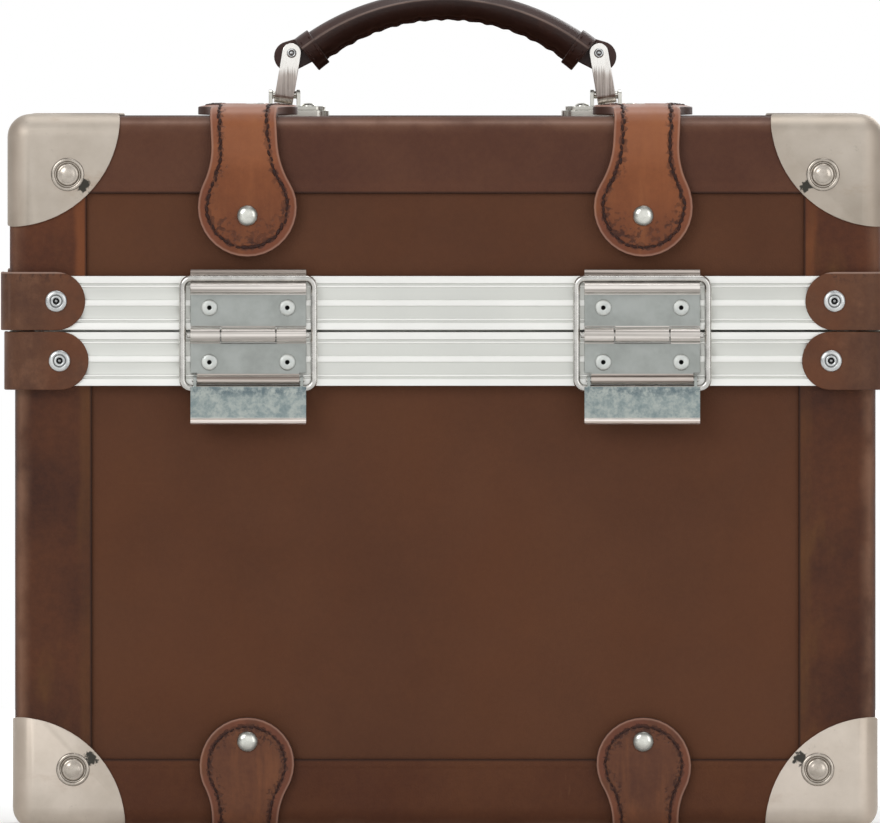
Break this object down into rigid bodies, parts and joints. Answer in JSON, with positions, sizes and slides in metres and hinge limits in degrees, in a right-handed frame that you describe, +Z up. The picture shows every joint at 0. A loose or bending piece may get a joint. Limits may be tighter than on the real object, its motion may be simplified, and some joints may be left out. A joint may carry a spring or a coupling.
{
  "type": "cosmetic case",
  "caption": "Boxy leather-covered travel case with an aluminium rim, metal corners, lift-up lid, bail latches and a folding top handle.",
  "frame": {"origin": "centre of the bounding box's bottom, on the surface that the case stands on", "axes": "+X along the case's width, to the right as seen from the front; +Y to the back, the front looks along -Y; +Z up"},
  "size_m": [0.346, 0.2386, 0.3291],
  "materials": {
    "plywood": "matt",
    "leather_brown": "satin, worn",
    "leather_binding": "satin, edges worn lighter",
    "leather_patch": "satin, hand stitched",
    "leather_wrap": "satin",
    "leather_handle": "polished by use",
    "lining": "woven",
    "aluminium_rim": "satin, mill lines",
    "nickel": "nickel plate, scuffed",
    "zinc": "zinc plate, mottled",
    "steel_wire": "bright",
    "steel_core": "bare"
  },
  "bodies": {
    "base": {"base_shell": "plywood", "base_cover": "leather_brown", "base_binding": "leather_binding", "base_lining": "lining", "base_rim": "aluminium_rim", "base_wraps": "leather_wrap", "base_wrap_rivets": "nickel", "base_corners": "nickel", "base_corner_rivets": "nickel", "base_patches": "leather_patch", "base_patch_rivets": "nickel", "front_base_leaves": "zinc", "rear_base_leaves": "zinc", "base_leaf_rivets": "zinc", "front_knuckle_pins": "zinc", "rear_hinge_pins": "zinc", "lever_pins": "zinc"},
    "lid": {"lid_shell": "plywood", "lid_cover": "leather_brown", "lid_binding": "leather_binding", "lid_lining": "lining", "lid_rim": "aluminium_rim", "lid_wraps": "leather_wrap", "lid_wrap_rivets": "nickel", "lid_corners": "nickel", "lid_corner_rivets": "nickel", "lid_patches": "leather_patch", "lid_patch_rivets": "nickel", "front_lid_leaves": "zinc", "rear_lid_leaves": "zinc", "lid_leaf_rivets": "zinc", "handle_pads": "leather_handle", "handle_mounts": "nickel", "handle_mount_rivets": "nickel"},
    "handle": {"handle_grip": "leather_handle", "handle_core": "steel_core", "handle_collars": "leather_handle", "handle_links": "nickel", "handle_rivets": "nickel"},
    "lever_left": {"left_lever": "zinc"},
    "bail_left": {"left_bail": "steel_wire"},
    "lever_right": {"right_lever": "zinc"},
    "bail_right": {"right_bail": "steel_wire"}
  },
  "joints": [
    {"name": "lid_swing", "type": "hinge", "parent": "base", "child": "lid", "pos_m": [0, 0.11525, 0.1947], "axis": [-1, 0, 0], "range_deg": [0, 100]},
    {"name": "handle_fold", "type": "hinge", "parent": "lid", "child": "handle", "pos_m": [0, 0, 0.28792], "axis": [1, 0, 0], "range_deg": [-82, 82]},
    {"name": "lever_left_turn", "type": "hinge", "parent": "base", "child": "lever_left", "pos_m": [-0.0766, -0.1148, 0.1773], "axis": [-1, 0, 0], "range_deg": [0, 150]},
    {"name": "bail_left_turn", "type": "hinge", "parent": "lever_left", "child": "bail_left", "pos_m": [-0.0766, -0.1143, 0.17399], "axis": [-1, 0, 0], "range_deg": [-172.5, 0]},
    {"name": "lever_right_turn", "type": "hinge", "parent": "base", "child": "lever_right", "pos_m": [0.0766, -0.1148, 0.1773], "axis": [-1, 0, 0], "range_deg": [0, 150]},
    {"name": "bail_right_turn", "type": "hinge", "parent": "lever_right", "child": "bail_right", "pos_m": [0.0766, -0.1143, 0.17399], "axis": [-1, 0, 0], "range_deg": [-172.5, 0]}
  ],
  "couplings": [
    {"joint": "bail_left_turn", "follows": "lever_left_turn", "ratio": -1.15},
    {"joint": "bail_right_turn", "follows": "lever_right_turn", "ratio": -1.15}
  ]
}
